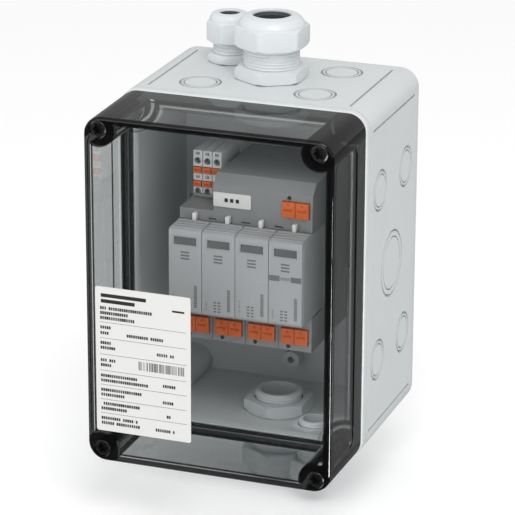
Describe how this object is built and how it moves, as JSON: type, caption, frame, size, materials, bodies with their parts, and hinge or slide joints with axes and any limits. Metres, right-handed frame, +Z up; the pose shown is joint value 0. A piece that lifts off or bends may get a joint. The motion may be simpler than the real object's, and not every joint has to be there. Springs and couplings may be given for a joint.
{
  "type": "combiner box",
  "caption": "Wall-mounted combiner box with a smoked clear lid, cable glands top and bottom, and a rail-mounted plug-in surge protector with signal terminals inside.",
  "frame": {"origin": "centre of the flat back face, on the wall", "axes": "+Y into the wall, +Z up, +X to the right of a viewer facing the lid"},
  "size_m": [0.13, 0.1355, 0.248],
  "materials": {
    "light_grey_plastic": "fine-textured light grey moulded polycarbonate",
    "smoked_clear_plastic": "smoke-tinted clear polycarbonate, polished",
    "light_nylon": "light grey polyamide, satin",
    "dark_rubber": "dark elastomer",
    "dark_plastic": "black moulded plastic",
    "mid_grey_plastic": "mid grey moulded plastic",
    "pale_grey_plastic": "pale grey moulded plastic",
    "orange_plastic": "orange moulded plastic",
    "white_plastic": "white moulded plastic",
    "white_label": "white printed film",
    "zinc_steel": "bright zinc-plated steel"
  },
  "bodies": {
    "enclosure": {"base_shell": "light_grey_plastic", "lid_gasket": "dark_rubber", "gland_top_large_body": "light_nylon", "gland_top_large_seal": "dark_rubber", "gland_top_large_lock_nut": "light_nylon", "gland_top_small_body": "light_nylon", "gland_top_small_seal": "dark_rubber", "gland_top_small_lock_nut": "light_nylon", "gland_bottom_large_body": "light_nylon", "gland_bottom_large_seal": "dark_rubber", "gland_bottom_large_lock_nut": "light_nylon", "gland_bottom_small_body": "light_nylon", "gland_bottom_small_seal": "dark_rubber", "gland_bottom_small_lock_nut": "light_nylon", "din_rail": "zinc_steel", "rail_screw_left": "zinc_steel", "rail_screw_right": "zinc_steel", "protector_base": "mid_grey_plastic", "terminal_carrier": "mid_grey_plastic", "terminal_1": "pale_grey_plastic", "terminal_2": "pale_grey_plastic", "terminal_3": "pale_grey_plastic", "device_tag": "white_label"},
    "lid": {"lid_shell": "smoked_clear_plastic", "type_label": "white_label"},
    "lid_screw_1": {"lid_screw_1": "dark_plastic"},
    "lid_screw_2": {"lid_screw_2": "dark_plastic"},
    "lid_screw_3": {"lid_screw_3": "dark_plastic"},
    "lid_screw_4": {"lid_screw_4": "dark_plastic"},
    "gland_top_large_dome_nut": {"gland_top_large_dome_nut": "light_nylon"},
    "gland_top_small_dome_nut": {"gland_top_small_dome_nut": "light_nylon"},
    "gland_bottom_large_dome_nut": {"gland_bottom_large_dome_nut": "light_nylon"},
    "gland_bottom_small_dome_nut": {"gland_bottom_small_dome_nut": "light_nylon"},
    "protector_plug_1": {"protector_plug_1": "pale_grey_plastic"},
    "protector_plug_2": {"protector_plug_2": "pale_grey_plastic"},
    "protector_plug_3": {"protector_plug_3": "pale_grey_plastic"},
    "protector_plug_4": {"protector_plug_4": "pale_grey_plastic"},
    "status_pin_1": {"status_pin_1": "white_plastic"},
    "status_pin_2": {"status_pin_2": "white_plastic"},
    "status_pin_3": {"status_pin_3": "white_plastic"},
    "status_pin_4": {"status_pin_4": "white_plastic"},
    "lever_lower_1_left": {"lever_lower_1_left": "orange_plastic"},
    "lever_lower_1_right": {"lever_lower_1_right": "orange_plastic"},
    "lever_lower_2_left": {"lever_lower_2_left": "orange_plastic"},
    "lever_lower_2_right": {"lever_lower_2_right": "orange_plastic"},
    "lever_lower_3_left": {"lever_lower_3_left": "orange_plastic"},
    "lever_lower_3_right": {"lever_lower_3_right": "orange_plastic"},
    "lever_lower_4_left": {"lever_lower_4_left": "orange_plastic"},
    "lever_lower_4_right": {"lever_lower_4_right": "orange_plastic"},
    "lever_upper_left": {"lever_upper_left": "orange_plastic"},
    "lever_upper_right": {"lever_upper_right": "orange_plastic"},
    "terminal_lever_1_upper": {"terminal_lever_1_upper": "orange_plastic"},
    "terminal_lever_2_upper": {"terminal_lever_2_upper": "orange_plastic"},
    "terminal_lever_3_upper": {"terminal_lever_3_upper": "orange_plastic"},
    "terminal_lever_1_lower": {"terminal_lever_1_lower": "orange_plastic"},
    "terminal_lever_2_lower": {"terminal_lever_2_lower": "orange_plastic"},
    "terminal_lever_3_lower": {"terminal_lever_3_lower": "orange_plastic"},
    "protector_foot_latch": {"protector_foot_latch": "dark_plastic"}
  },
  "joints": [
    {"name": "lid_off", "type": "slide", "parent": "enclosure", "child": "lid", "axis": [0, -1, 0], "range_m": [0, 0.08]},
    {"name": "lid_screw_1_turn", "type": "hinge", "parent": "lid", "child": "lid_screw_1", "pos_m": [-0.0565, -0.134, 0.0836], "axis": [0, -1, 0], "range_deg": [0, 720]},
    {"name": "lid_screw_2_turn", "type": "hinge", "parent": "lid", "child": "lid_screw_2", "pos_m": [0.0565, -0.134, 0.0836], "axis": [0, -1, 0], "range_deg": [0, 720]},
    {"name": "lid_screw_3_turn", "type": "hinge", "parent": "lid", "child": "lid_screw_3", "pos_m": [-0.0565, -0.134, -0.0836], "axis": [0, -1, 0], "range_deg": [0, 720]},
    {"name": "lid_screw_4_turn", "type": "hinge", "parent": "lid", "child": "lid_screw_4", "pos_m": [0.0565, -0.134, -0.0836], "axis": [0, -1, 0], "range_deg": [0, 720]},
    {"name": "gland_top_large_nut_turn", "type": "hinge", "parent": "enclosure", "child": "gland_top_large_dome_nut", "pos_m": [0, -0.0435, 0.1], "axis": [0, 0, 1], "range_deg": [0, 360]},
    {"name": "gland_top_small_nut_turn", "type": "hinge", "parent": "enclosure", "child": "gland_top_small_dome_nut", "pos_m": [-0.0303, -0.0226, 0.1], "axis": [0, 0, 1], "range_deg": [0, 360]},
    {"name": "gland_bottom_large_nut_turn", "type": "hinge", "parent": "enclosure", "child": "gland_bottom_large_dome_nut", "pos_m": [0.005, -0.0435, -0.1], "axis": [0, 0, -1], "range_deg": [0, 360]},
    {"name": "gland_bottom_small_nut_turn", "type": "hinge", "parent": "enclosure", "child": "gland_bottom_small_dome_nut", "pos_m": [0.033, -0.0685, -0.1], "axis": [0, 0, -1], "range_deg": [0, 360]},
    {"name": "protector_plug_1_pull", "type": "slide", "parent": "enclosure", "child": "protector_plug_1", "axis": [0, -1, 0], "range_m": [0, 0.032]},
    {"name": "protector_plug_2_pull", "type": "slide", "parent": "enclosure", "child": "protector_plug_2", "axis": [0, -1, 0], "range_m": [0, 0.032]},
    {"name": "protector_plug_3_pull", "type": "slide", "parent": "enclosure", "child": "protector_plug_3", "axis": [0, -1, 0], "range_m": [0, 0.032]},
    {"name": "protector_plug_4_pull", "type": "slide", "parent": "enclosure", "child": "protector_plug_4", "axis": [0, -1, 0], "range_m": [0, 0.032]},
    {"name": "status_pin_1_press", "type": "slide", "parent": "enclosure", "child": "status_pin_1", "axis": [0, 1, 0], "range_m": [0, 0.002], "stiffness_N_per_m": 150},
    {"name": "status_pin_2_press", "type": "slide", "parent": "enclosure", "child": "status_pin_2", "axis": [0, 1, 0], "range_m": [0, 0.002], "stiffness_N_per_m": 150},
    {"name": "status_pin_3_press", "type": "slide", "parent": "enclosure", "child": "status_pin_3", "axis": [0, 1, 0], "range_m": [0, 0.002], "stiffness_N_per_m": 150},
    {"name": "status_pin_4_press", "type": "slide", "parent": "enclosure", "child": "status_pin_4", "axis": [0, 1, 0], "range_m": [0, 0.002], "stiffness_N_per_m": 150},
    {"name": "lever_lower_1_left_press", "type": "slide", "parent": "enclosure", "child": "lever_lower_1_left", "axis": [0, 1, 0], "range_m": [0, 0.0015], "stiffness_N_per_m": 600},
    {"name": "lever_lower_1_right_press", "type": "slide", "parent": "enclosure", "child": "lever_lower_1_right", "axis": [0, 1, 0], "range_m": [0, 0.0015], "stiffness_N_per_m": 600},
    {"name": "lever_lower_2_left_press", "type": "slide", "parent": "enclosure", "child": "lever_lower_2_left", "axis": [0, 1, 0], "range_m": [0, 0.0015], "stiffness_N_per_m": 600},
    {"name": "lever_lower_2_right_press", "type": "slide", "parent": "enclosure", "child": "lever_lower_2_right", "axis": [0, 1, 0], "range_m": [0, 0.0015], "stiffness_N_per_m": 600},
    {"name": "lever_lower_3_left_press", "type": "slide", "parent": "enclosure", "child": "lever_lower_3_left", "axis": [0, 1, 0], "range_m": [0, 0.0015], "stiffness_N_per_m": 600},
    {"name": "lever_lower_3_right_press", "type": "slide", "parent": "enclosure", "child": "lever_lower_3_right", "axis": [0, 1, 0], "range_m": [0, 0.0015], "stiffness_N_per_m": 600},
    {"name": "lever_lower_4_left_press", "type": "slide", "parent": "enclosure", "child": "lever_lower_4_left", "axis": [0, 1, 0], "range_m": [0, 0.0015], "stiffness_N_per_m": 600},
    {"name": "lever_lower_4_right_press", "type": "slide", "parent": "enclosure", "child": "lever_lower_4_right", "axis": [0, 1, 0], "range_m": [0, 0.0015], "stiffness_N_per_m": 600},
    {"name": "lever_upper_left_press", "type": "slide", "parent": "enclosure", "child": "lever_upper_left", "axis": [0, 1, 0], "range_m": [0, 0.0015], "stiffness_N_per_m": 600},
    {"name": "lever_upper_right_press", "type": "slide", "parent": "enclosure", "child": "lever_upper_right", "axis": [0, 1, 0], "range_m": [0, 0.0015], "stiffness_N_per_m": 600},
    {"name": "terminal_lever_1_upper_press", "type": "slide", "parent": "enclosure", "child": "terminal_lever_1_upper", "axis": [0, 1, 0], "range_m": [0, 0.001], "stiffness_N_per_m": 400},
    {"name": "terminal_lever_2_upper_press", "type": "slide", "parent": "enclosure", "child": "terminal_lever_2_upper", "axis": [0, 1, 0], "range_m": [0, 0.001], "stiffness_N_per_m": 400},
    {"name": "terminal_lever_3_upper_press", "type": "slide", "parent": "enclosure", "child": "terminal_lever_3_upper", "axis": [0, 1, 0], "range_m": [0, 0.001], "stiffness_N_per_m": 400},
    {"name": "terminal_lever_1_lower_press", "type": "slide", "parent": "enclosure", "child": "terminal_lever_1_lower", "axis": [0, 1, 0], "range_m": [0, 0.001], "stiffness_N_per_m": 400},
    {"name": "terminal_lever_2_lower_press", "type": "slide", "parent": "enclosure", "child": "terminal_lever_2_lower", "axis": [0, 1, 0], "range_m": [0, 0.001], "stiffness_N_per_m": 400},
    {"name": "terminal_lever_3_lower_press", "type": "slide", "parent": "enclosure", "child": "terminal_lever_3_lower", "axis": [0, 1, 0], "range_m": [0, 0.001], "stiffness_N_per_m": 400},
    {"name": "protector_foot_latch_release", "type": "slide", "parent": "enclosure", "child": "protector_foot_latch", "axis": [0, 0, -1], "range_m": [0, 0.003], "stiffness_N_per_m": 1500}
  ]
}
